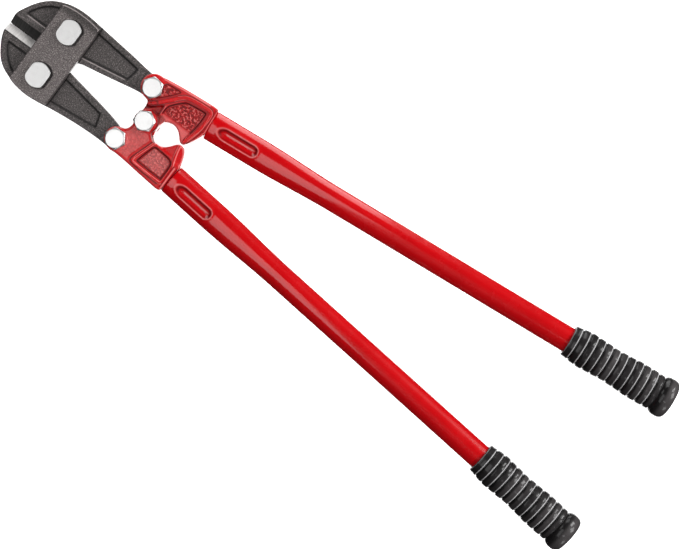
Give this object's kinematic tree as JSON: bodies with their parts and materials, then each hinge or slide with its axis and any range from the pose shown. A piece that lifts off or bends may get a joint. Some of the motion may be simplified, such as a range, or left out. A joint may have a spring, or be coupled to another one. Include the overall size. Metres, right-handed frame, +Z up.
{
  "type": "bolt cutters",
  "caption": "Long-handled compound-action bolt cutters with forged centre-cut jaws, side straps, forged linkage heads, tubular steel handles and ribbed end grips.",
  "frame": {"origin": "middle of the tool's footprint, on the surface it lies on", "axes": "+X from the jaws to the grips, +Z up through the thickness of the tool, +Y towards the upper handle"},
  "size_m": [0.7588, 0.2102, 0.042],
  "materials": {
    "red_paint": "gloss",
    "black_forging": "satin",
    "bright_steel": "satin",
    "grip_rubber": "gloss"
  },
  "bodies": {
    "straps": {"front_strap": "black_forging", "rear_strap": "black_forging", "upper_jaw_bolt": "bright_steel", "lower_jaw_bolt": "bright_steel", "upper_jaw_washer": "bright_steel", "lower_jaw_washer": "bright_steel", "upper_jaw_nut": "bright_steel", "lower_jaw_nut": "bright_steel"},
    "upper_jaw": {"upper_jaw": "black_forging"},
    "lower_jaw": {"lower_jaw": "black_forging"},
    "upper_handle": {"upper_head": "red_paint", "upper_tube": "red_paint", "upper_grip": "grip_rubber", "upper_link_bolt": "bright_steel", "upper_link_washer": "bright_steel", "upper_link_nut": "bright_steel"},
    "lower_handle": {"lower_head": "red_paint", "lower_tube": "red_paint", "lower_grip": "grip_rubber", "lower_link_bolt": "bright_steel", "lower_link_washer": "bright_steel", "lower_link_nut": "bright_steel", "centre_bolt": "bright_steel", "centre_washer": "bright_steel", "centre_nut": "bright_steel"}
  },
  "joints": [
    {"name": "upper_jaw_pivot", "type": "hinge", "parent": "straps", "child": "upper_jaw", "pos_m": [-0.32298, 0.0251, 0.021], "axis": [0, 0, 1], "range_deg": [-7.72, 0]},
    {"name": "lower_jaw_pivot", "type": "hinge", "parent": "straps", "child": "lower_jaw", "pos_m": [-0.32298, -0.0269, 0.021], "axis": [0, 0, 1], "range_deg": [0, 7.72]},
    {"name": "upper_link_pivot", "type": "hinge", "parent": "upper_jaw", "child": "upper_handle", "pos_m": [-0.22398, 0.0304, 0.021], "axis": [0, 0, 1], "range_deg": [0, 45]},
    {"name": "lower_link_pivot", "type": "hinge", "parent": "lower_jaw", "child": "lower_handle", "pos_m": [-0.22398, -0.0322, 0.021], "axis": [0, 0, 1], "range_deg": [-45, 0]}
  ],
  "couplings": [
    {"joint": "lower_link_pivot", "follows": "upper_link_pivot", "ratio": -1},
    {"joint": "upper_jaw_pivot", "follows": "upper_link_pivot", "ratio": -0.1715},
    {"joint": "lower_jaw_pivot", "follows": "upper_link_pivot", "ratio": 0.1715}
  ]
}
